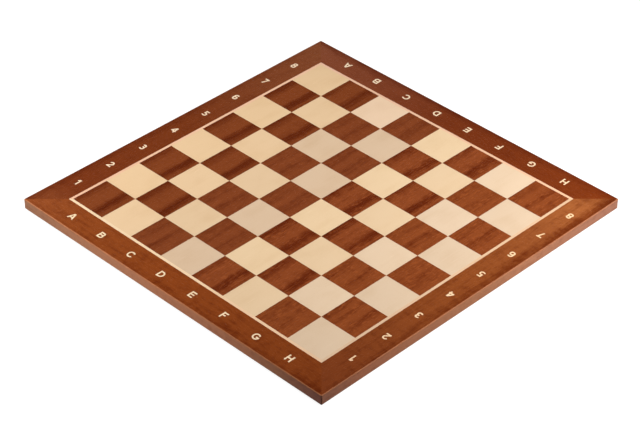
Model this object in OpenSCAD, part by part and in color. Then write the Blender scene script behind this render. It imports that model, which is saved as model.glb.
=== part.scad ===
// Veneered wooden chess board with letters and digits on its border.
// +X runs from file A to file H, +Y from rank 1 to rank 8, and +Z is up.
// The origin is at the middle of the board, on the surface that it stands on.

/* [Playing field] */
// Side of one square
square_side = 50; // [40:0.5:65]
// Width of the pale line round the field
line_w = 3.5; // [1:0.5:8]

/* [Border] */
// Width of the border veneer outside the line
border_w = 36.5; // [24:0.5:60]
// Thickness of the solid strips that edge the core
lipping_w = 3; // [2:0.5:8]

/* [Panel] */
// Thickness of the core panel
core_t = 12; // [6:0.5:20]
// Thickness of every sheet of veneer
veneer_t = 0.6; // [0.5:0.1:1.5]
// Width of the middle leaf of the backing veneer
middle_leaf_w = 160; // [80:5:240]

/* [Rounded edges] */
// Radius along the top and bottom edges
arris_r = 1; // [0.3:0.1:2]
// Radius down the four upright corners
corner_r = 1.5; // [0.5:0.1:3]

/* [Coordinates] */
// Height of the capitals and digits
glyph_h = 10; // [8:0.1:16]
// Width of their strokes
glyph_stroke = 1.9; // [1:0.1:2]
// Thickness of the inlaid letters, which is also the depth of their pockets
glyph_t = 0.4; // [0.2:0.1:0.4]
// Glue line left all round each letter in its pocket
glue_line = 0.05; // [0.02:0.01:0.1]

/* [Felt pads] */
// Diameter of a pad
pad_d = 20; // [12:1:30]
// Thickness of a pad
pad_t = 2; // [1:0.5:4]
// From the edges of the board to the middle of a pad
pad_inset = 30; // [20:1:60]

/* [Hidden] */
FILES = ["A", "B", "C", "D", "E", "F", "G", "H"];
RANKS = ["1", "2", "3", "4", "5", "6", "7", "8"];
TONES = ["dark", "light"];
SIDES = ["front", "right", "back", "left"];
LEAVES = ["left", "middle", "right"];
CORNERS = ["front_left", "front_right", "back_right", "back_left"];

field_half = len(FILES) * square_side / 2;
line_half = field_half + line_w;
board_half = line_half + border_w;
core_half = board_half - lipping_w;

backing_z = pad_t;
core_z = backing_z + veneer_t;
face_z = core_z + core_t;
top_z = face_z + veneer_t;
slab_t = top_z - backing_z;

SAPELE = "#86452a";
SAPELE_EDGE = "#a0623f";
MAPLE = "#e6c99c";
FIBREBOARD = "#b08d63";
FELT = "#2f4a38";

$fn = 64;

// How much larger a pocket's outline is than its letter's, on each side
$ease = 0;

function squares_name(rank, tone) = str("rank_", rank, "_", tone, "_squares");
function along_files(side) = side == "front" || side == "back";
function coordinates_name(side) = str(side, along_files(side) ? "_letters" : "_digits");
function quarter_turn(side) = 90 * search([side], SIDES)[0];
function square_middle(number) = (number + 0.5) * square_side - field_half;

// A rectangle about the origin with round corners
module rounded_plate(size, r) {
    square([size.x - 2 * r, size.y], center = true);
    square([size.x, size.y - 2 * r], center = true);
    for (x = [-1, 1], y = [-1, 1])
        translate([x * (size.x / 2 - r), y * (size.y / 2 - r)])
            circle(r);
}

// The slab's outer form, with its edges and upright corners rounded
module rounded_slab() {
    width = 2 * board_half;
    translate([0, 0, backing_z + slab_t / 2])
        intersection() {
            linear_extrude(slab_t, center = true)
                rounded_plate([width, width], corner_r);
            intersection_for(turn = [0, 90])
                rotate([90, 0, turn])
                    linear_extrude(width, center = true)
                        rounded_plate([width, slab_t], arris_r);
        }
}

// A strip along one side of the board, with a 45 degree mitre at each end
module mitred_strip(side, inner, outer, z, thickness) {
    rotate([0, 0, quarter_turn(side)])
        translate([0, 0, z])
            linear_extrude(thickness)
                polygon([[-outer, -outer], [outer, -outer], [inner, -inner], [-inner, -inner]]);
}

// The panel

module core_panel() {
    color(FIBREBOARD)
        translate([-core_half, -core_half, core_z])
            cube([2 * core_half, 2 * core_half, core_t]);
}

module lipping(side) {
    color(SAPELE_EDGE)
        intersection() {
            rounded_slab();
            mitred_strip(side, core_half, board_half, core_z, core_t);
        }
}

// The outer leaves take what the middle leaf leaves of the board's width
module backing_leaf(leaf) {
    seam = middle_leaf_w / 2;
    left = leaf == "left" ? -board_half : leaf == "middle" ? -seam : seam;
    right = leaf == "left" ? -seam : leaf == "middle" ? seam : board_half;
    color(SAPELE)
        intersection() {
            rounded_slab();
            translate([left, -board_half, backing_z])
                cube([right - left, 2 * board_half, veneer_t]);
        }
}

module felt_pad(corner) {
    reach = board_half - pad_inset;
    turn = 90 * search([corner], CORNERS)[0];
    color(FELT)
        rotate([0, 0, turn])
            translate([-reach, -reach, 0])
                cylinder(d = pad_d, h = pad_t);
}

// The playing field

// A1 is dark, and the tones alternate from there
module squares(rank, tone) {
    row = search([rank], RANKS)[0];
    first = (row + (tone == "dark" ? 0 : 1)) % 2;
    color(tone == "dark" ? SAPELE : MAPLE)
        for (file = [first : 2 : len(FILES) - 1])
            translate([square_middle(file), square_middle(row), face_z + veneer_t / 2])
                cube([square_side, square_side, veneer_t], center = true);
}

module line_inlay(side) {
    color(MAPLE)
        mitred_strip(side, field_half, line_half, face_z, veneer_t);
}

// The border and its coordinates

module border_veneer(side) {
    color(SAPELE)
        difference() {
            intersection() {
                rounded_slab();
                mitred_strip(side, line_half, board_half, face_z, veneer_t);
            }
            coordinate_row(side, $ease = glue_line);
        }
}

module coordinates(side) {
    color(MAPLE)
        coordinate_row(side);
}

// One letter or digit for each square along a side, in the middle of the border.
// Those on the front and left stand upright for the player at rank 1, the others for the player at rank 8.
module coordinate_row(side) {
    middle = (line_half + board_half) / 2;
    near = side == "front" || side == "left";
    across = near ? -middle : middle;
    names = along_files(side) ? FILES : RANKS;
    for (number = [0 : len(names) - 1])
        translate(along_files(side) ? [square_middle(number), across] : [across, square_middle(number)])
            translate([0, 0, top_z - glyph_t])
                rotate([0, 0, near ? 0 : 180])
                    linear_extrude(glyph_t)
                        glyph(names[number]);
}

// Strokes of the letters, in a frame with the letter's lower left corner at its origin

// A stem or diagonal, cut level at its foot and its head
module stem(foot, head) {
    run = head - foot;
    lean = run.x / run.y;
    half = (glyph_stroke / 2 + $ease) * norm(run) / run.y;
    low = foot - $ease * [lean, 1];
    high = head + $ease * [lean, 1];
    polygon([low - [half, 0], low + [half, 0], high + [half, 0], high - [half, 0]]);
}

// A level bar from x = left to x = right, with its lower edge at y
module bar(left, right, y) {
    translate([left - $ease, y - $ease])
        square([right - left + 2 * $ease, glyph_stroke + 2 * $ease]);
}

// A straight stroke with ends cut square across it
module stroke(from, to) {
    run = to - from;
    translate(from)
        rotate(atan2(run.y, run.x))
            translate([-$ease, -glyph_stroke / 2 - $ease])
                square([norm(run) + 2 * $ease, glyph_stroke + 2 * $ease]);
}

// A closed bowl between two corners
module bowl(low, high) {
    size = high - low + 2 * $ease * [1, 1];
    wall = glyph_stroke + 2 * $ease;
    // Just under half, so that each side keeps a short flat
    r = 0.48 * min(size.x, size.y);
    translate((low + high) / 2)
        difference() {
            rounded_plate(size, r);
            rounded_plate(size - 2 * wall * [1, 1], r - wall);
        }
}

// What is cut from a bowl to open it, from one angle round to another
module opening(at, from, to) {
    middle = (from + to) / 2;
    tip = at + $ease / sin(middle - from) * [cos(middle), sin(middle)];
    reach = 3 * glyph_h;
    polygon([tip, for (angle = [from, middle, to]) tip + reach * [cos(angle), sin(angle)]]);
}

// Width of each letter and digit as a share of its height
GLYPH_WIDTHS = [
    ["A", 0.94], ["B", 0.80], ["C", 0.92], ["D", 0.84], ["E", 0.71], ["F", 0.66], ["G", 0.93], ["H", 0.79],
    ["1", 0.43], ["2", 0.68], ["3", 0.68], ["4", 0.70], ["5", 0.68], ["6", 0.68], ["7", 0.68], ["8", 0.69]
];
function glyph_width(name) = glyph_h * GLYPH_WIDTHS[search([name], GLYPH_WIDTHS)[0]][1];

module glyph(name) {
    w = glyph_width(name);
    h = glyph_h;
    half_stroke = glyph_stroke / 2;
    // The bar between two bowls, one above the other
    waist = 0.53 * h;
    waist_low = waist - half_stroke;
    waist_high = waist + half_stroke;
    // Where a bowl starts whose left side is cut off by the stem
    hidden = -h;
    translate([-w / 2, -h / 2])
        intersection() {
            translate([-$ease, -$ease])
                square([w + 2 * $ease, h + 2 * $ease]);
            union() {
                if (name == "A") {
                    stem([0.55 * glyph_stroke, 0], [w / 2 - 0.1 * glyph_stroke, h]);
                    stem([w - 0.55 * glyph_stroke, 0], [w / 2 + 0.1 * glyph_stroke, h]);
                    bar(0.25 * w, 0.75 * w, 0.2 * h);
                }
                if (name == "B" || name == "D" || name == "E" || name == "F" || name == "H")
                    stem([half_stroke, 0], [half_stroke, h]);
                if (name == "B") {
                    bowl([hidden, 0], [w, waist_high]);
                    bowl([hidden, waist_low], [0.95 * w, h]);
                }
                if (name == "C")
                    difference() {
                        bowl([0, 0], [w, h]);
                        opening([w / 2, h / 2], -38, 38);
                    }
                if (name == "D")
                    bowl([hidden, 0], [w, h]);
                if (name == "E" || name == "F")
                    bar(0, w, h - glyph_stroke);
                if (name == "E") {
                    bar(0, 0.93 * w, 0.52 * h - half_stroke);
                    bar(0, w, 0);
                }
                if (name == "F")
                    bar(0, 0.88 * w, 0.51 * h - half_stroke);
                if (name == "G") {
                    difference() {
                        bowl([0, 0], [w, h]);
                        opening([w / 2, h / 2], 4, 40);
                    }
                    bar(0.52 * w, w, 0.53 * h - glyph_stroke);
                }
                if (name == "H") {
                    stem([w - half_stroke, 0], [w - half_stroke, h]);
                    bar(0, w, waist_low);
                }
                if (name == "1") {
                    stem([w - half_stroke, 0], [w - half_stroke, h]);
                    stem([0.08 * w, 0.68 * h], [0.6 * w, h]);
                }
                if (name == "2") {
                    difference() {
                        bowl([0, 0.36 * h], [w, h]);
                        opening([w / 2, 0.68 * h], 170, 313);
                    }
                    stroke([0.74 * w, 0.51 * h], [0, 0.01 * h]);
                    bar(0, w, 0);
                }
                if (name == "3") {
                    difference() {
                        bowl([0.05 * w, waist_low], [0.95 * w, h]);
                        opening([w / 2, (waist_low + h) / 2], 158, 272);
                    }
                    difference() {
                        bowl([0, 0], [w, waist_high]);
                        opening([w / 2, waist_high / 2], 88, 202);
                    }
                    bar(0.38 * w, 0.6 * w, waist_low);
                }
                if (name == "4") {
                    stem([0.73 * w, 0], [0.73 * w, h]);
                    stem([0.03 * w, 0.21 * h], [0.69 * w, h]);
                    bar(0, w, 0.21 * h);
                }
                if (name == "5") {
                    bar(0.17 * w, 0.95 * w, h - glyph_stroke);
                    stem([0.13 * w + half_stroke, 0.48 * h], [0.2 * w + half_stroke, h]);
                    difference() {
                        bowl([0, 0], [w, 0.65 * h]);
                        opening([w / 2, 0.325 * h], 140, 204);
                    }
                }
                if (name == "6") {
                    bowl([0, 0], [w, 0.64 * h]);
                    intersection() {
                        difference() {
                            bowl([0, 0], [w, h]);
                            opening([w / 2, 0.68 * h], -90, 28);
                        }
                        translate([-h, 0.32 * h])
                            square(2 * h);
                    }
                }
                if (name == "7") {
                    bar(0, w, h - glyph_stroke);
                    stem([0.3 * w, 0], [0.8 * w, h]);
                }
                if (name == "8") {
                    bowl([0.05 * w, waist_low], [0.95 * w, h]);
                    bowl([0, 0], [w, waist_high]);
                }
            }
        }
}

core_panel();
for (side = SIDES) {
    lipping(side);
    border_veneer(side);
    line_inlay(side);
    coordinates(side);
}
for (rank = RANKS, tone = TONES)
    squares(rank, tone);
for (leaf = LEAVES)
    backing_leaf(leaf);
for (corner = CORNERS)
    felt_pad(corner);
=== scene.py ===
"""Looks of a veneered chess board: mahogany and maple squares, maple line, mahogany border and edges.

Everything is in metres in the CAD frame: board centred on the origin, feet on z 0, ranks along +Y.
"""
import math

import bpy
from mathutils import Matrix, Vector


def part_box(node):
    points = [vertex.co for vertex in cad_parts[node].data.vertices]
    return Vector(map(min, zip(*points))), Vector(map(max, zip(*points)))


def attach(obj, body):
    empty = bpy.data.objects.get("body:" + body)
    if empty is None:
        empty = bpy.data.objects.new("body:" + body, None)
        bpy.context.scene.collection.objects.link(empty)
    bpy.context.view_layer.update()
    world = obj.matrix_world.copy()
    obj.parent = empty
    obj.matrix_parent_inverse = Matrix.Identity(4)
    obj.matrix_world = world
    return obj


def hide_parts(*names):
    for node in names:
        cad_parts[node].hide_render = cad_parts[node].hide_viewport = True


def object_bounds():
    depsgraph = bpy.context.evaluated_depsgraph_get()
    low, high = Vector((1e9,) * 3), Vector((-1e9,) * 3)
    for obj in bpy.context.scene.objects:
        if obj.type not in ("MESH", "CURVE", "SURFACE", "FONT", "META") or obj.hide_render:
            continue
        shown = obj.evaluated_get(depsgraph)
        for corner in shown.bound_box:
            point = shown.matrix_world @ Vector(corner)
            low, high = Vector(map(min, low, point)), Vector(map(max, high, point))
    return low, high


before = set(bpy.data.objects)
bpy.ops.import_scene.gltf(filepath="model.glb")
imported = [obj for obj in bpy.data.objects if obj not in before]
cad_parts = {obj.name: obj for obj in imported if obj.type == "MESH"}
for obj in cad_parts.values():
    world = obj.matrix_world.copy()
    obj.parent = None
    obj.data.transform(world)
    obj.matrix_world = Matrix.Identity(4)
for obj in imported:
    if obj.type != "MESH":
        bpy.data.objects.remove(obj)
cad_low, cad_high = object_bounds()
scene = bpy.context.scene

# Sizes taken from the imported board
board_half = cad_high.x
first_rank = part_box("rank_1_dark_squares")
field_half = -first_rank[0].x
square = first_rank[1].y - first_rank[0].y
top = cad_high.z
mm = 1000  # a metre in millimetres, the unit of every pattern below


# Camera: off the front right corner and above, with the long lens of a catalogue picture
aim = Vector((0.02756, -0.02952, top))
azimuth = math.radians(44.97)
elevation = math.radians(36.735)
distance = 2.475
level = math.cos(elevation)
back = Vector((math.sin(azimuth) * level, -math.cos(azimuth) * level, math.sin(elevation)))
bpy.ops.object.select_all(action="DESELECT")
bpy.ops.object.camera_add(location=aim + back * distance)
camera = bpy.context.object
camera.rotation_euler = (-back).to_track_quat("-Z", "Y").to_euler()
camera.data.lens = 123.64
camera.data.sensor_width = 36
camera.data.dof.use_dof = False
scene.camera = camera
scene.view_settings.view_transform = "Standard"


# Small helpers
def linear(hex_colour):
    """The linear colour of an sRGB hex value."""
    parts = [int(hex_colour[i:i + 2], 16) / 255 for i in (1, 3, 5)]
    return (*(p / 12.92 if p <= 0.04045 else ((p + 0.055) / 1.055) ** 2.4 for p in parts), 1)


def add(tree, kind, inputs, stops=(), **settings):
    """Adds one node with its settings and ramp stops, and fills or links its inputs by name or number."""
    node = tree.nodes.new("ShaderNode" + kind)
    for name, value in settings.items():
        setattr(node, name, value)
    if stops:
        elements = node.color_ramp.elements
        while len(elements) < len(stops):
            elements.new(1)
        # A stop is a hex colour or a grey from 0 to 1
        for element, (place, colour) in zip(elements, stops):
            element.position = place
            element.color = linear(colour) if isinstance(colour, str) else (colour, colour, colour, 1)
    for name, value in inputs.items():
        socket = node.inputs[name] if isinstance(name, int) else next(
            s for s in node.inputs if s.name == name and s.enabled)
        if isinstance(value, bpy.types.Node):
            value = next(s for s in value.outputs if s.enabled)
        if isinstance(value, bpy.types.NodeSocket):
            tree.links.new(value, socket)
        else:
            socket.default_value = value
    return node


def material(name):
    """A new empty material and its node tree."""
    made = bpy.data.materials.new(name)
    made.use_nodes = True
    made.node_tree.nodes.clear()
    return made, made.node_tree


def give(made, *names):
    """Puts a material on CAD nodes."""
    for name in names:
        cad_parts[name].material_slots[0].material = made


# Room: white to the camera, dim as a light, and mirrored as white walls under a dark ceiling, so that the
# lacquer shines at a low angle and has no haze from above
white = "#FFFFFF"
dim = "#262626"
world = bpy.data.worlds.new("studio")
scene.world = world
world.use_nodes = True
tree = world.node_tree
tree.nodes.clear()
direction = add(tree, "TexCoord", {}).outputs["Generated"]
upward = add(tree, "SeparateXYZ", {"Vector": direction}).outputs["Z"]
# The walls are white up to 4 degrees above the floor, and from 13 degrees on all is dark ceiling
walls_end = math.sin(math.radians(4))
ceiling_start = math.sin(math.radians(13))
walls = add(tree, "ValToRGB", {"Fac": upward}, stops=((walls_end, white), (ceiling_start, dim)))
path = add(tree, "LightPath", {})
mirrored = add(tree, "Math", {0: path.outputs["Is Glossy Ray"], 1: path.outputs["Is Transmission Ray"]},
               operation="MAXIMUM")
colour = add(tree, "Mix", {"Factor": mirrored, "A": linear(dim), "B": walls}, data_type="RGBA")
colour = add(tree, "Mix", {"Factor": path.outputs["Is Camera Ray"], "A": colour, "B": linear(white)},
             data_type="RGBA")
room = add(tree, "Background", {"Color": colour, "Strength": 1.0})
add(tree, "OutputWorld", {"Surface": room})

# Two softboxes stand off the front left and back right corners, which the camera sees at the left and the
# right, so that the top is lit evenly, a little more at the back right. A strip light on the floor in front
# lights the left part of the front edge. Most of the light comes from a second lamp just behind each one
# that makes no highlight, so that the lacquer mirrors a softbox as a sheen and not as a white patch.
for name, place, wide, tall, watts in (
    ("left_softbox", Vector((-0.68, -0.35, 0.70)), 0.7, 0.5, 9.4),
    ("right_softbox", Vector((0.62, 0.36, 0.41)), 0.7, 0.5, 9.65),
    ("front_strip_light", Vector((-0.13, -0.55, 0.045)), 0.3, 0.07, 1.03),
):
    for kind, share, behind in (("fill", 0.85, 1.03), ("sheen", 0.15, 1)):
        bpy.ops.object.light_add(type="AREA", location=place * behind)
        lamp = bpy.context.object
        lamp.name = f"{name}_{kind}"
        lamp.rotation_euler = (-place).to_track_quat("-Z", "Y").to_euler()
        lamp.data.shape = "RECTANGLE"
        lamp.data.size = wide
        lamp.data.size_y = tall
        lamp.data.energy = watts * share
        lamp.visible_glossy = kind == "sheen"

# Floor: a white sheet that the camera and reflections see as white, with the board's own shadow on it
bpy.ops.object.select_all(action="DESELECT")
bpy.ops.mesh.primitive_plane_add(size=16)
floor = bpy.context.object
floor.name = "floor"
sheet, tree = material("white_studio_paper")
paper = add(tree, "BsdfDiffuse", {"Color": linear("#323232")})
lit = add(tree, "BsdfDiffuse", {"Color": linear("#8A8A8A")})
# The glow fills up to white away from the board, where the lamps no longer reach
spot = add(tree, "TexCoord", {}).outputs["Object"]
away = add(tree, "VectorMath", {0: spot}, operation="LENGTH").outputs["Value"]
strength = add(tree, "MapRange", {
    "Value": away, "From Min": 0.45, "From Max": 0.8, "To Min": 0.9, "To Max": 1})
glow = add(tree, "Emission", {"Color": linear(white), "Strength": strength})
seen_white = add(tree, "AddShader", {0: lit, 1: glow})
path = add(tree, "LightPath", {})
seen = add(tree, "Math", {0: path.outputs["Is Camera Ray"], 1: path.outputs["Is Glossy Ray"]},
           operation="MAXIMUM")
seen = add(tree, "Math", {0: seen, 1: path.outputs["Is Transmission Ray"]}, operation="MAXIMUM")
both = add(tree, "MixShader", {0: seen, 1: paper, 2: seen_white})
add(tree, "OutputMaterial", {"Surface": both})
floor.data.materials.append(sheet)


# Woods
def object_places(tree):
    """The object's x, y and z in mm, in a dictionary by axis."""
    split = add(tree, "SeparateXYZ", {"Vector": add(tree, "TexCoord", {}).outputs["Object"]})
    return {axis: add(tree, "Math", {0: split.outputs[axis], 1: mm}, operation="MULTIPLY") for axis in "XYZ"}


def noise(tree, place, sizes, detail=1.0, **inputs):
    """Even noise, 0 to 1 about 0.5, with patches of the given sizes in mm at a place in mm."""
    place = add(tree, "Mapping", {"Vector": place, "Scale": [1 / size for size in sizes]})
    return add(tree, "TexNoise", {"Vector": place, "Scale": 1, "Detail": detail, **inputs})


def mahogany_shade(tree, across, along, through, weights, usual,
                   sway=(3.0, 140), ribbon=(8, 250), flecked=0.12):
    """Light and dark of sliced mahogany, 0 dark and 1 light, at a place in mm across, along and through it.

    weights are those of the ribbon stripe, the fine streaks and the cross mottle, usual is the shade that
    they vary about. sway is how far the grain lines wander and over what length, ribbon the size of the
    stripe, all in mm, and flecked the share by which the flecks are lighter. Gives the shade and the pores.
    """
    # The grain lines wander a little to either side
    grain = add(tree, "CombineXYZ", {"X": across, "Y": along, "Z": through})
    slow = noise(tree, grain, (45, sway[1], 45))
    shift = add(tree, "Math", {0: slow, 1: sway[0] * 2, 2: -sway[0]}, operation="MULTIPLY_ADD")
    swayed = add(tree, "Math", {0: across, 1: shift}, operation="ADD")
    grain = add(tree, "CombineXYZ", {"X": swayed, "Y": along, "Z": through})
    # Ribbon stripe of interlocked grain
    stripe = noise(tree, grain, (ribbon[0], ribbon[1], ribbon[0]), 2.0)
    # Streaks of fine lines, 1 to 2 mm wide and about 35 mm long
    streak = noise(tree, grain, (1.5, 35, 1.5), 3.0, Roughness=0.6)
    # Cross mottle: soft uneven patches 12 mm across the grain and 8 mm along it
    mottle = noise(tree, grain, (12, 8, 12), 2.0, Distortion=0.7)
    layers = add(tree, "CombineXYZ", {"X": stripe, "Y": streak, "Z": mottle})
    layers = add(tree, "VectorMath", {0: layers, 1: (0.5, 0.5, 0.5)}, operation="SUBTRACT")
    layers = add(tree, "VectorMath", {0: layers, 1: weights}, operation="DOT_PRODUCT")
    shade = add(tree, "Math", {0: layers, 1: usual}, operation="ADD")
    # Pores, 0.15 by 4 mm on the real leaf, drawn from patches of 0.4 by 7 mm so that they show at all
    pores = noise(tree, grain, (0.4, 7, 0.4))
    pores = add(tree, "MapRange", {"Value": pores, "From Min": 0.62, "From Max": 0.74},
                interpolation_type="SMOOTHSTEP")
    shade = add(tree, "Math", {0: pores, 1: -0.12, 2: shade}, operation="MULTIPLY_ADD")
    # Flecks, where the knife met the rays at a slant: paler dashes of 0.5 by 4 mm, drawn from patches of
    # 2 by 9 mm to show
    flecks = noise(tree, grain, (2, 9, 2))
    flecks = add(tree, "MapRange", {"Value": flecks, "From Min": 0.58, "From Max": 0.68},
                 interpolation_type="SMOOTHSTEP")
    flecks = add(tree, "Math", {0: flecks, 1: flecked}, operation="MULTIPLY")
    return add(tree, "Math", {0: shade, 1: flecks, 2: shade}, operation="MULTIPLY_ADD"), pores


def mahogany_colour(tree, leaf, shade):
    """The lightest tone of a leaf, darkened by its figure: mahogany loses blue and green before red."""
    tint = add(tree, "ValToRGB", {"Fac": shade}, stops=(
        (0, "#956F59"), (0.3, "#B99B86"), (0.6, "#EDE9E7"), (1, "#FFFFFF")))
    return add(tree, "Mix", {"Factor": 1.0, "A": leaf, "B": tint}, data_type="RGBA", blend_type="MULTIPLY")


def lacquer(tree, colour, relief, depth, roughness, gloss=0.5):
    """Satin lacquer on wood: an even soft gloss that follows the wood's relief, 0 to 1 and depth mm deep."""
    bump = add(tree, "Bump", {"Height": relief, "Strength": 1.0, "Distance": depth / mm})
    shader = add(tree, "BsdfPrincipled", {
        "Base Color": colour, "Roughness": roughness, "IOR": 1.5, "Specular IOR Level": gloss,
        "Normal": bump})
    add(tree, "OutputMaterial", {"Surface": shader})


def pored_lacquer(tree, colour, pores, depth, roughness):
    """Satin lacquer on mahogany, which sinks into the open pores and is duller in them."""
    relief = add(tree, "Math", {0: 1, 1: pores}, operation="SUBTRACT")
    roughness = add(tree, "Math", {0: pores, 1: 0.15, 2: roughness}, operation="MULTIPLY_ADD")
    lacquer(tree, colour, relief, depth, roughness)


def square_places(tree):
    """Where a point of the playing field lies: the object's X, Y and Z in mm, and its place in the squares.

    in_x and in_y are mm into the square from its left and front edges, file and rank its numbers from 0.
    """
    at = object_places(tree)
    for axis, within, number in (("X", "in_x", "file"), ("Y", "in_y", "rank")):
        count = add(tree, "Math", {0: at[axis], 1: 1 / (square * mm), 2: field_half / square},
                    operation="MULTIPLY_ADD")
        part = add(tree, "Math", {0: count}, operation="FRACT")
        at[within] = add(tree, "Math", {0: part, 1: square * mm}, operation="MULTIPLY")
        at[number] = add(tree, "Math", {0: count}, operation="FLOOR")
    return at


def cut_line(tree, in_x, in_y):
    """1 on the knife cut round a square and 0 inside. The cut is 0.1 mm wide, drawn 0.3 mm to show."""
    edges = []
    for place in (in_x, in_y):
        rest = add(tree, "Math", {0: square * mm, 1: place}, operation="SUBTRACT")
        edges.append(add(tree, "Math", {0: place, 1: rest}, operation="MINIMUM"))
    nearest = add(tree, "Math", {0: edges[0], 1: edges[1]}, operation="MINIMUM")
    return add(tree, "MapRange", {
        "Value": nearest, "From Min": 0.12, "From Max": 0.4, "To Min": 1, "To Max": 0})


# Mahogany of the squares: four strips, each of two neighbouring leaves, sawn across into squares, so that
# a leaf's figure runs up the board from rank to rank
mahogany_squares, tree = material("mahogany_squares")
at = square_places(tree)
file = at["file"]
along = at["Y"]
second = add(tree, "Math", {0: file, 1: 2}, operation="MODULO")
strip = add(tree, "Math", {0: file, 1: 1 / 2}, operation="MULTIPLY")
strip = add(tree, "Math", {0: strip}, operation="FLOOR")
# The strips' tones, on a ramp that is read in the middle of its four quarters
quarter = add(tree, "Math", {0: strip, 1: 1 / 4, 2: 1 / 8}, operation="MULTIPLY_ADD")
leaf = add(tree, "ValToRGB", {"Fac": quarter}, stops=(
    (0.125, "#8C4723"), (0.375, "#8A4624"), (0.625, "#924A25"), (0.875, "#904923")))
# How far the figure has moved over at this rank, in squares: from the back to the front it leans 3 mm to
# the left in the first leaf of a strip and 8 mm to the right in the second, and it wavers by 1 to 2 mm
forward = add(tree, "Math", {0: along, 1: -0.5 / (field_half * mm), 2: 0.5}, operation="MULTIPLY_ADD")
start = add(tree, "Math", {0: second, 1: -0.1, 2: -0.01}, operation="MULTIPLY_ADD")
lean = add(tree, "Math", {0: second, 1: 0.22, 2: -0.06}, operation="MULTIPLY_ADD")
lean = add(tree, "Math", {0: lean, 1: forward, 2: start}, operation="MULTIPLY_ADD")
waver_gap = 9.7  # mm between two files in the waver's pattern, so that each wavers in its own way
place = add(tree, "Math", {0: file, 1: waver_gap}, operation="MULTIPLY")
place = add(tree, "CombineXYZ", {"X": place, "Y": along})
slow = noise(tree, place, (1, 20, 1), 1.0)
quick = noise(tree, place, (1, 7, 1), 2.0)
lean = add(tree, "Math", {0: slow, 1: 0.1, 2: lean}, operation="MULTIPLY_ADD")
lean = add(tree, "Math", {0: quick, 1: 0.04, 2: lean}, operation="MULTIPLY_ADD")
# Where a point lies in its leaf's figure, 0 at the left and 1 at the right
figure = add(tree, "Math", {0: at["in_x"], 1: 1 / (square * mm), 2: 0.06}, operation="MULTIPLY_ADD")
figure = add(tree, "Math", {0: figure, 1: lean}, operation="SUBTRACT")
# The first and third strips have a broad dark band of growth, the second and fourth only a faint one
banded = add(tree, "ValToRGB", {"Fac": figure}, stops=(
    (0, 0.30), (0.38, 0.61), (0.58, 0.61), (0.79, 0.26), (1, 0.52)))
even = add(tree, "ValToRGB", {"Fac": figure}, stops=(
    (0, 0.44), (0.15, 0.55), (0.27, 0.51), (0.45, 0.68), (0.64, 0.47), (0.88, 0.62), (1, 0.58)))
for ramp in (banded, even):
    ramp.color_ramp.interpolation = "EASE"
plain = add(tree, "Math", {0: strip, 1: 2}, operation="MODULO")
usual = add(tree, "Mix", {"Factor": plain, "A": banded, "B": even}, data_type="FLOAT")
# The growth shows as lines 1 to 2 mm apart, and the darker the leaf is, the plainer they are
mahogany_gap = 173  # mm between two files' leaves in the wood's pattern, so that no two are alike
place = add(tree, "Math", {0: figure, 1: square * mm}, operation="MULTIPLY")
place = add(tree, "Math", {0: file, 1: mahogany_gap, 2: place}, operation="MULTIPLY_ADD")
place = add(tree, "CombineXYZ", {"X": place, "Y": along})
growth = noise(tree, place, (1.6, 110, 1), 2.0)
growth = add(tree, "Math", {0: growth, 1: 0.5}, operation="SUBTRACT")
contrast = add(tree, "Math", {0: usual, 1: -1.6, 2: 1.1}, operation="MULTIPLY_ADD")
usual = add(tree, "Math", {0: growth, 1: contrast, 2: usual}, operation="MULTIPLY_ADD")
across = add(tree, "Math", {0: file, 1: mahogany_gap, 2: at["in_x"]}, operation="MULTIPLY_ADD")
# The leaves to the right have more figure and flecks
flecked = add(tree, "Math", {0: strip, 1: 0.32, 2: 0.05}, operation="MULTIPLY_ADD")
weights = add(tree, "VectorMath", {0: strip, 1: (0.1, 0.06, 0.07), 2: (0.2, 0.3, 0.2)},
              operation="MULTIPLY_ADD")
shade, pores = mahogany_shade(
    tree, across, along, at["Z"], weights, usual, sway=(1.5, 60), ribbon=(7, 130), flecked=flecked)
cuts = cut_line(tree, at["in_x"], at["in_y"])
shade = add(tree, "Math", {0: cuts, 1: -0.15, 2: shade}, operation="MULTIPLY_ADD")
pored_lacquer(tree, mahogany_colour(tree, leaf, shade), pores, depth=0.012, roughness=0.25)
give(mahogany_squares, *(f"rank_{n}_dark_squares" for n in range(1, 9)))


def maple_colour(tree, leaf, across, along, through):
    """A leaf of sliced maple at a place in mm: close and even, faintly clouded, with fine fibre and flecks.

    Gives the colour and the fibre.
    """
    grain = add(tree, "CombineXYZ", {"X": across, "Y": along, "Z": through})
    bands = noise(tree, grain, (14, 190, 14), 2.0, Distortion=0.4)
    fibre = noise(tree, grain, (1.1, 40, 1.1), 3.0)
    cloud = noise(tree, grain, (22, 35, 22))
    layers = add(tree, "CombineXYZ", {"X": bands, "Y": fibre, "Z": cloud})
    layers = add(tree, "VectorMath", {0: layers, 1: (0.16, 0.08, 0.3)}, operation="DOT_PRODUCT")
    shade = add(tree, "Math", {0: layers, 1: 0.23}, operation="ADD")
    # Ray flecks, 0.1 by 1 mm on the real leaf, drawn from patches of 0.4 by 3 mm
    flecks = noise(tree, grain, (0.4, 3, 0.4), 0.0)
    flecks = add(tree, "MapRange", {"Value": flecks, "From Min": 0.68, "From Max": 0.78},
                 interpolation_type="SMOOTHSTEP")
    shade = add(tree, "Math", {0: flecks, 1: -0.1, 2: shade}, operation="MULTIPLY_ADD")
    tint = add(tree, "ValToRGB", {"Fac": shade}, stops=(
        (0, "#DCC8AE"), (0.5, "#F9F5F0"), (1, "#FFFFFF")))
    colour = add(tree, "Mix", {"Factor": 1.0, "A": leaf, "B": tint}, data_type="RGBA",
                 blend_type="MULTIPLY")
    return colour, fibre


# Maple of the squares: some leaves are a cooler, greyer white than the others
maple_squares, tree = material("maple_squares")
at = square_places(tree)
file = at["file"]
rank = at["rank"]
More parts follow.
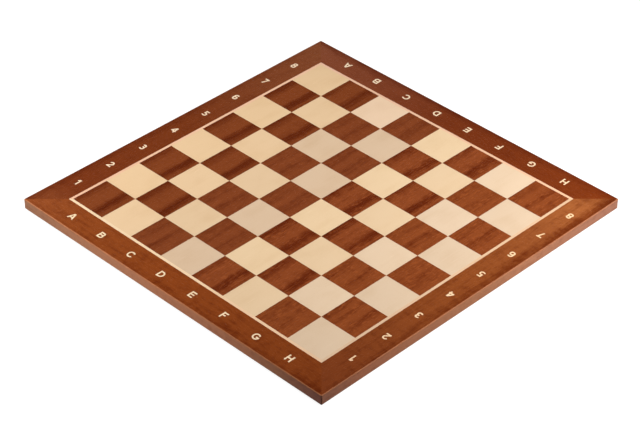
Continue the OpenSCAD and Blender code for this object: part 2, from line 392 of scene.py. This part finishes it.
# The files' tones, on ramps that are read in the middle of their eight parts
eighth = add(tree, "Math", {0: file, 1: 1 / 8, 2: 1 / 16}, operation="MULTIPLY_ADD")
warm = add(tree, "ValToRGB", {"Fac": eighth}, stops=(
    (0.06, "#EECEA5"), (0.19, "#EDCEA7"), (0.31, "#EBCDA6"), (0.44, "#DFC4A6"),
    (0.56, "#EED2AC"), (0.69, "#E9CDA9"), (0.81, "#E6CDB0")))
cool = add(tree, "ValToRGB", {"Fac": eighth}, stops=(
    (0.44, "#DFC4A7"), (0.81, "#E4CCB1"), (0.94, "#DEC6AB")))
# The D and H files are cool, and the C and G files are nearly so in ranks 5 to 7, which are numbers 4 to 6
# here, and a little in the others
in_four = add(tree, "Math", {0: file, 1: 4}, operation="MODULO")
ranks_5_to_7 = add(tree, "Math", {0: rank, 1: 5, 2: 1.2}, operation="COMPARE")
coolness = add(tree, "Math", {0: ranks_5_to_7, 1: 0.6, 2: in_four}, operation="MULTIPLY_ADD")
coolness = add(tree, "MapRange", {"Value": coolness, "From Min": 1.8, "From Max": 2.7})
leaf = add(tree, "Mix", {"Factor": coolness, "A": warm, "B": cool}, data_type="RGBA")
# The last square of the C file, number 7 of file 2 here, was cut from a paler leaf
number = add(tree, "CombineXYZ", {"X": file, "Y": rank})
apart = add(tree, "VectorMath", {0: number, 1: (2, 7, 0)}, operation="DISTANCE").outputs["Value"]
paler = add(tree, "Math", {0: apart, 1: 0.5}, operation="LESS_THAN")
leaf = add(tree, "Mix", {"Factor": paler, "A": leaf, "B": linear("#F1D4B6")}, data_type="RGBA")
maple_gap = 131  # mm between two files' leaves in the wood's pattern
across = add(tree, "Math", {0: file, 1: maple_gap, 2: at["in_x"]}, operation="MULTIPLY_ADD")
colour, fibre = maple_colour(tree, leaf, across, at["Y"], at["Z"])
roughness = add(tree, "Math", {0: fibre, 1: 0.06, 2: 0.23}, operation="MULTIPLY_ADD")
lacquer(tree, colour, fibre, depth=0.01, roughness=roughness)
give(maple_squares, *(f"rank_{n}_light_squares" for n in range(1, 9)))


def side_places(tree, side):
    """Millimetres across a border strip from the board's edge inwards, along it and through it.

    The last value is the share of the strip's length, 0 at its low end and 1 at its high end.
    """
    at = object_places(tree)
    outward, lengthwise = ("Y", "X") if side in ("front", "back") else ("X", "Y")
    sign = 1 if side in ("front", "left") else -1
    across = add(tree, "Math", {0: at[outward], 1: sign, 2: board_half * mm}, operation="MULTIPLY_ADD")
    share = add(tree, "Math", {0: at[lengthwise], 1: 0.5 / (board_half * mm), 2: 0.5},
                operation="MULTIPLY_ADD")
    return across, at[lengthwise], at["Z"], share


# Maple of the line and of the letters and numbers: pale leaves that change a little in tone along each side
pale_pieces = {
    "front_line_inlay": ((0, "#F8DEBA"), (0.4, "#F9DEBA"), (0.65, "#F5D3AF"), (1, "#E6C3A3")),
    "front_letters": ((0, "#FEE9C2"), (1, "#FDE4C2")),
    "right_line_inlay": ((0, "#DBBFA0"), (0.3, "#E0BFA0"), (0.6, "#E2C09E"), (1, "#DCB998")),
    "right_digits": ((0, "#F3CFAA"), (0.5, "#F6D8B1"), (1, "#F0CDA0")),
    "back_line_inlay": ((0, "#F2C6AB"), (0.5, "#F2C8A9"), (1, "#EDC09E")),
    "back_letters": ((0, "#FEEACC"), (0.5, "#FCE3C2"), (1, "#F3D2AC")),
    "left_line_inlay": ((0, "#F3C2A2"), (0.4, "#F4C9A9"), (1, "#F8CCAE")),
    "left_digits": ((0, "#FDE4C4"), (1, "#FEE6C8")),
}
for name, tones in pale_pieces.items():
    side = name.split("_")[0]
    kind = "line" if name.endswith("line_inlay") else "letters"
    pale_maple, tree = material(f"maple_{side}_{kind}")
    across, along, through, share = side_places(tree, side)
    tone = add(tree, "ValToRGB", {"Fac": share}, stops=tones)
    colour, fibre = maple_colour(tree, tone, across, along, through)
    lacquer(tree, colour, fibre, depth=0.01, roughness=0.26)
    give(pale_maple, name)

# Mahogany of the border: each side is its own strip of leaf, grain along it, mitred at the corners. The
# lightest tone changes along the strip. outer_band is by how much the outer third is darker at the strip's
# low end and at its high end, and cut_from where across the wood's pattern the strip lies, in mm. One more
# number sets how strongly the rounded edge is painted paler and duller: a painted highlight.
borders = {
    "front": dict(
        tones=((0, "#9B5128"), (0.17, "#964B1F"), (0.5, "#93471B"), (1, "#854019")),
        weights=(0.5, 0.4, 0.45), sway=(7.0, 50), ribbon=(5, 40),
        outer_band=(0.05, 0.2), edge_highlight_amount=0.9, cut_from=110),
    "right": dict(
        tones=((0, "#7F3D1C"), (0.5, "#924D23"), (0.78, "#98542A"), (0.9, "#A66032"), (0.97, "#914F27")),
        weights=(0.45, 0.45, 0.5), sway=(3.0, 80), ribbon=(6, 60),
        outer_band=(0, 0.5), edge_highlight_amount=0.6, cut_from=530),
    # The back strip's low end and the left strip's high end, at the back left corner, are paler and greyer:
    # a painted sheen
    "back": dict(
        tones=((0, "#925237"), (0.5, "#7D3819"), (1, "#7F3713")),
        weights=(0.2, 0.3, 0.25), sway=(3.0, 80), ribbon=(8, 60),
        outer_band=(0.27, 0.15), edge_highlight_amount=0.5, cut_from=970),
    "left": dict(
        tones=((0, "#884321"), (0.06, "#8A4522"), (0.12, "#803A19"), (0.5, "#803C1A"), (1, "#905232")),
        weights=(0.2, 0.3, 0.3), sway=(3.0, 80), ribbon=(8, 60),
        outer_band=(0.2, 0.08), edge_highlight_amount=0.4, cut_from=1490),
}
for side, strip in borders.items():
    mahogany_border, tree = material(f"mahogany_{side}_border")
    across, along, through, share = side_places(tree, side)
    # The dark outer band fades out 13 to 19 mm in, here sooner and there later
    waver = noise(tree, add(tree, "CombineXYZ", {"Y": along}), (1, 60, 1))
    waver = add(tree, "Math", {0: waver, 1: -7, 2: across}, operation="MULTIPLY_ADD")
    rim = add(tree, "MapRange", {
        "Value": waver, "From Min": -4, "From Max": 12.5, "To Min": 1, "To Max": 0},
        interpolation_type="SMOOTHSTEP")
    low_end, high_end = strip["outer_band"]
    darker = add(tree, "MapRange", {"Value": share, "To Min": low_end, "To Max": high_end})
    darker = add(tree, "Math", {0: rim, 1: darker}, operation="MULTIPLY")
    usual = add(tree, "Math", {0: 0.6, 1: darker}, operation="SUBTRACT")
    moved = add(tree, "Math", {0: across, 1: strip["cut_from"]}, operation="ADD")
    shade, pores = mahogany_shade(
        tree, moved, along, through, strip["weights"], usual, strip["sway"], strip["ribbon"])
    leaf = add(tree, "ValToRGB", {"Fac": share}, stops=strip["tones"])
    colour = mahogany_colour(tree, leaf, shade)
    # The rounded edge is painted paler, a painted highlight, and made rougher and so duller
    edge_highlight = add(tree, "MapRange", {
        "Value": across, "From Min": 0.3, "From Max": 1.2, "To Min": strip["edge_highlight_amount"], "To Max": 0})
    colour = add(tree, "Mix", {"Factor": edge_highlight, "A": colour, "B": linear("#B8774C")}, data_type="RGBA")
    roughness = add(tree, "Math", {0: edge_highlight, 1: 0.6, 2: 0.25}, operation="MULTIPLY_ADD")
    pored_lacquer(tree, colour, pores, depth=0.012, roughness=roughness)
    give(mahogany_border, f"{side}_border_veneer")

# Mahogany of the lippings: solid strips, sanded and sealed but not lacquered, and so dull, pinker and
# paler. The tone changes along each strip, and the two that meet at the front right corner are browner and
# darker there, which is painted shade.
lippings = {
    "front": ((0, "#9F6E50"), (0.5, "#AF7352"), (0.75, "#B17453"), (0.87, "#9F6849"), (1, "#845041")),
    "right": ((0, "#8A5943"), (0.12, "#A16547"), (0.5, "#AA7250"), (0.65, "#B27857"), (1, "#9F6C55")),
    "back": ((0, "#A56A48"), (0.6, "#AE7452"), (1, "#9B6446")),
    "left": ((0, "#A36A4A"), (0.4, "#AD7450"), (1, "#A06848")),
}
for side, tones in lippings.items():
    mahogany_lipping, tree = material(f"mahogany_{side}_lipping")
    across, along, through, share = side_places(tree, side)
    # The face that shows stands upright, so the leaf's width is the board's height
    shade, pores = mahogany_shade(tree, through, along, across, (0.35, 0.4, 0.4), 0.6, sway=(1.5, 140))
    colour = mahogany_colour(tree, add(tree, "ValToRGB", {"Fac": share}, stops=tones), shade)
    relief = add(tree, "Math", {0: 1, 1: pores}, operation="SUBTRACT")
    lacquer(tree, colour, relief, depth=0.02, roughness=0.5, gloss=0.12)
    give(mahogany_lipping, f"{side}_lipping")

# Backing veneer: three plainer leaves of mahogany with one thin coat of lacquer, each its own tone and
# from its own place across the wood's pattern, in mm
for name, tone, cut_from in (
    ("left", "#B0724A", 210),
    ("middle", "#A56540", 420),
    ("right", "#B77B52", 630),
):
    mahogany_backing, tree = material(f"mahogany_{name}_backing")
    at = object_places(tree)
    across = add(tree, "Math", {0: at["X"], 1: cut_from}, operation="ADD")
    shade, pores = mahogany_shade(tree, across, at["Y"], at["Z"], (0.6, 0.45, 0.25), 0.55, sway=(5.0, 140))
    colour = mahogany_colour(tree, linear(tone), shade)
    pored_lacquer(tree, colour, pores, depth=0.04, roughness=0.5)
    give(mahogany_backing, f"{name}_backing_leaf")

# Fibreboard of the core: pressed softwood fibre, a matt felted brown with darker and paler specks
fibreboard, tree = material("fibreboard")
spot = add(tree, "TexCoord", {}).outputs["Object"]
# Its fibres are 0.03 mm thick and lie in bundles, drawn 1.5 mm wide, and its tone changes over 25 mm
tangle = add(tree, "TexNoise", {"Vector": spot, "Scale": mm / 1.5, "Detail": 4, "Roughness": 0.7})
patches = add(tree, "TexNoise", {"Vector": spot, "Scale": mm / 25, "Detail": 1})
shade = add(tree, "Math", {0: patches, 1: 0.4, 2: -0.2}, operation="MULTIPLY_ADD")
shade = add(tree, "Math", {0: tangle, 1: shade}, operation="ADD")
colour = add(tree, "ValToRGB", {"Fac": shade}, stops=((0.2, "#86643F"), (0.5, "#AF8C63"), (0.8, "#CDB08A")))
bump = add(tree, "Bump", {"Height": tangle, "Strength": 0.6, "Distance": 0.1 / mm})
shader = add(tree, "BsdfPrincipled", {
    "Base Color": colour, "Roughness": 0.9, "Normal": bump, "Specular IOR Level": 0.3})
add(tree, "OutputMaterial", {"Surface": shader})
give(fibreboard, "core_panel")

# Wool felt of the feet: a matt dark green nap, painted brighter at the fibres that stand up and darker
# between them: painted light and shade
wool_felt, tree = material("wool_felt")
spot = add(tree, "TexCoord", {}).outputs["Object"]
# Its fibres are 0.02 mm thick and lie in tufts, drawn 0.5 mm wide, and its tone changes over 5 mm
tufts = add(tree, "TexNoise", {
    "Vector": spot, "Scale": mm / 0.5, "Detail": 4, "Roughness": 0.75, "Distortion": 1.5})
patches = add(tree, "TexNoise", {"Vector": spot, "Scale": mm / 5, "Detail": 1})
shade = add(tree, "Math", {0: patches, 1: 0.4, 2: -0.2}, operation="MULTIPLY_ADD")
shade = add(tree, "Math", {0: tufts, 1: shade}, operation="ADD")
colour = add(tree, "ValToRGB", {"Fac": shade}, stops=((0.25, "#1B2E22"), (0.5, "#2E4A38"), (0.8, "#4C6C57")))
bump = add(tree, "Bump", {"Height": tufts, "Strength": 0.8, "Distance": 0.25 / mm})
shader = add(tree, "BsdfPrincipled", {
    "Base Color": colour, "Roughness": 0.95, "Normal": bump, "Specular IOR Level": 0.2,
    "Sheen Weight": 0.35, "Sheen Roughness": 0.5, "Sheen Tint": linear("#A9C4B2")})
add(tree, "OutputMaterial", {"Surface": shader})


# Felt feet: discs cut with a round punch from 2 mm felt, their cut edge a little drawn in and fluffy
ring_widths = (0.0005, 0.0015, 0.0025, 0.0025)  # of the rings on a disc's faces, from the rim inwards
edge_radius = 0.0004  # of the round of the cut edge
tolerance = 1e-5  # within which two places on a disc count as one


def select_faces_at(mesh, height):
    """Selects the faces whose middle is at a height, in a mesh in edit mode."""
    bpy.ops.object.mode_set(mode="OBJECT")
    for part in (mesh.vertices, mesh.edges, mesh.polygons):
        part.foreach_set("select", [False] * len(part))
    for face in mesh.polygons:
        face.select = abs(face.center.z - height) <= tolerance
    bpy.ops.object.mode_set(mode="EDIT")


feet = ("front_left", "front_right", "back_right", "back_left")
low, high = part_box("front_left_felt_pad")
centre = (low + high) / 2
radius = (high.x - low.x) / 2
bpy.ops.object.select_all(action="DESELECT")
bpy.ops.mesh.primitive_cylinder_add(vertices=96, radius=radius, depth=high.z - low.z, location=centre)
pad = bpy.context.object
bpy.ops.object.transform_apply(location=True)
bpy.ops.object.mode_set(mode="EDIT")
bpy.ops.mesh.select_mode(type="FACE")
# Both faces are divided into rings from the rim inwards
for height in (low.z, high.z):
    select_faces_at(pad.data, height)
    for width in ring_widths:
        bpy.ops.mesh.inset(thickness=width)
bpy.ops.object.mode_set(mode="OBJECT")
for edge in pad.data.edges:
    ends = [pad.data.vertices[v].co for v in edge.vertices]
    on_rim = all((end.to_2d() - centre.to_2d()).length > radius - tolerance for end in ends)
    edge.select = on_rim and ends[0].z == ends[1].z
bpy.ops.object.mode_set(mode="EDIT")
bpy.ops.mesh.select_mode(type="EDGE")
bpy.ops.mesh.bevel(offset=edge_radius, segments=4, profile=0.5)
bpy.ops.object.mode_set(mode="OBJECT")
bpy.ops.object.shade_smooth_by_angle(angle=math.radians(50))
pad.data.materials.clear()
pad.data.materials.append(wool_felt)
pad.name = "front_left_felt_foot"
made_feet = [pad]
for name in feet[1:]:
    other = pad.copy()
    other.data = pad.data.copy()
    other.name = f"{name}_felt_foot"
    scene.collection.objects.link(other)
    step = sum(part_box(f"{name}_felt_pad"), Vector()) / 2 - centre
    for vertex in other.data.vertices:
        vertex.co += step
    made_feet.append(other)
for name, foot in zip(feet, made_feet):
    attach(foot, "root")
    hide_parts(f"{name}_felt_pad")
